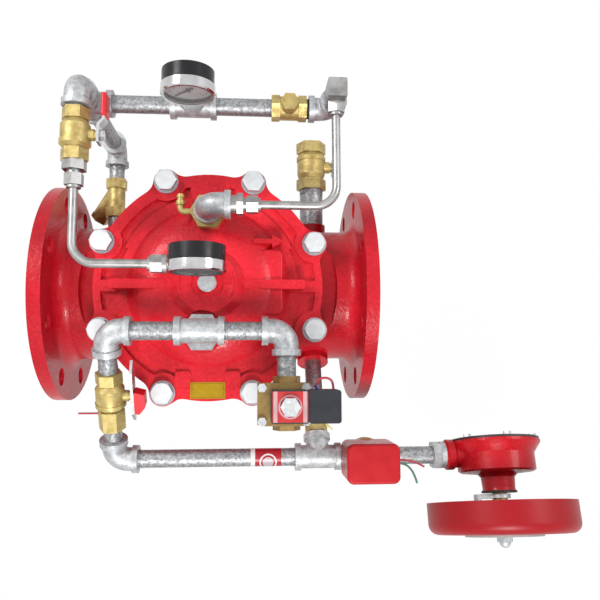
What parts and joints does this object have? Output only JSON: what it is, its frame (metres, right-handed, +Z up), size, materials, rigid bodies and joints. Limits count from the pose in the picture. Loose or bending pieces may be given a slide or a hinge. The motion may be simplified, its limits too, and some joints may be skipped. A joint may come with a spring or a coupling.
{
  "type": "deluge valve",
  "caption": "Flanged diaphragm deluge valve with screwed trim lines, ball valves, gauges, solenoid valve, pressure switch and water motor alarm gong.",
  "frame": {"origin": "centre of the inlet flange's sealing face", "axes": "+X along the flow from the inlet flange to the outlet flange, +Y to the back, +Z up to the cover"},
  "size_m": [0.6535, 0.5557, 0.4032],
  "materials": {
    "red_paint": "gloss",
    "motor_paint": "gloss",
    "galvanised": "matt, mottled",
    "brass": "satin",
    "bronze": "satin",
    "stainless": "satin",
    "zinc_bolts": "satin",
    "cast_plates": "matt",
    "rubber": "matt",
    "seat_plastic": "matt",
    "red_vinyl": "satin",
    "gauge_black": "satin",
    "chrome": "gloss",
    "dial": "matt",
    "window": "gloss",
    "needle_black": "matt",
    "yellow_plate": "satin",
    "coil_red": "satin",
    "black_plastic": "matt",
    "green_insulation": "satin",
    "red_insulation": "satin",
    "gong_steel": "gloss"
  },
  "bodies": {
    "valve": {"valve_body": "red_paint", "seat_ring": "bronze", "cover": "red_paint", "cover_bolts": "zinc_bolts", "cover_plug": "zinc_bolts", "stem_bush": "bronze", "nameplate": "yellow_plate", "diaphragm": "rubber", "closing_spring": "stainless", "pipe_elbows": "galvanised", "pipe_tees": "galvanised", "pipe_nipples": "galvanised", "galvanised_pipes": "galvanised", "galvanised_couplings": "galvanised", "brass_adapters": "brass", "brass_caps": "brass", "strainer_body": "brass", "strainer_screen": "stainless", "ball_seats": "seat_plastic", "supply_valve_body": "brass", "release_valve_body": "brass", "drain_valve_body": "brass", "steel_tubes": "stainless", "tube_fittings": "stainless", "check_valve_body": "brass", "gauge_cases": "gauge_black", "gauge_bezels": "chrome", "gauge_dials": "dial", "gauge_windows": "window", "gauge_stems": "brass", "solenoid_body": "bronze", "solenoid_bonnet": "bronze", "solenoid_fasteners": "zinc_bolts", "solenoid_coil": "coil_red", "connector_box": "black_plastic", "switch_base": "brass", "switch_cover": "red_paint", "motor_housing": "motor_paint", "motor_lid": "motor_paint", "gong_axle": "zinc_bolts", "gong": "gong_steel", "green_lead": "green_insulation", "red_lead": "red_insulation", "coil_lead": "red_insulation"},
    "main_disc": {"main_stem": "stainless", "diaphragm_plates": "cast_plates", "disc_seal": "rubber"},
    "supply_handle": {"supply_ball": "chrome", "supply_lever": "red_vinyl"},
    "release_control": {"release_ball": "chrome", "release_handle": "red_vinyl"},
    "drain_handle": {"drain_ball": "chrome", "drain_lever": "red_vinyl"},
    "check_swing": {"check_flap": "brass"},
    "cover_gauge_pointer": {"cover_gauge_needle": "needle_black"},
    "line_gauge_pointer": {"line_gauge_needle": "needle_black"},
    "solenoid_core": {"solenoid_plunger": "stainless"},
    "switch_core": {"switch_plunger": "stainless"},
    "motor_rotor": {"impeller": "brass", "striker": "zinc_bolts"}
  },
  "joints": [
    {"name": "main_disc_lift", "type": "slide", "parent": "valve", "child": "main_disc", "axis": [0, 0, 1], "range_m": [0, 0.02], "stiffness_N_per_m": 1500, "springref_m": -0.02, "deforming": ["closing_spring", "diaphragm"]},
    {"name": "supply_lever_turn", "type": "hinge", "parent": "valve", "child": "supply_handle", "pos_m": [0.0625, 0.16, 0.177], "axis": [1, 0, 0], "range_deg": [0, 90]},
    {"name": "release_handle_turn", "type": "hinge", "parent": "valve", "child": "release_control", "pos_m": [0.0975, -0.13141, 0.12577], "axis": [1, 0, 0], "range_deg": [0, 90]},
    {"name": "drain_lever_turn", "type": "hinge", "parent": "valve", "child": "drain_handle", "pos_m": [0.3475, 0.1975, -0.045], "axis": [1, 0, 0], "range_deg": [0, 90]},
    {"name": "check_flap_swing", "type": "hinge", "parent": "valve", "child": "check_swing", "pos_m": [0.301, 0.221, 0.129], "axis": [0, -1, 0], "range_deg": [0, 35]},
    {"name": "cover_gauge_turn", "type": "hinge", "parent": "valve", "child": "cover_gauge_pointer", "pos_m": [0.2035, 0.015, 0.23], "axis": [0, 1, 0], "range_deg": [0, 270], "stiffness_Nm_per_rad": 0.001},
    {"name": "line_gauge_turn", "type": "hinge", "parent": "valve", "child": "line_gauge_pointer", "pos_m": [0.1875, 0.221, 0.188], "axis": [0, 1, 0], "range_deg": [0, 270], "stiffness_Nm_per_rad": 0.001},
    {"name": "solenoid_plunger_lift", "type": "slide", "parent": "valve", "child": "solenoid_core", "axis": [0, 0, 1], "range_m": [0, 0.004], "stiffness_N_per_m": 150, "springref_m": -0.005},
    {"name": "switch_plunger_lift", "type": "slide", "parent": "valve", "child": "switch_core", "axis": [0, 0, 1], "range_m": [0, 0.003], "stiffness_N_per_m": 400, "springref_m": -0.004},
    {"name": "impeller_spin", "type": "hinge", "parent": "valve", "child": "motor_rotor", "pos_m": [0.5645, -0.20845, 0.08984], "axis": [0, -0.9724, 0.2334], "continuous": true}
  ]
}
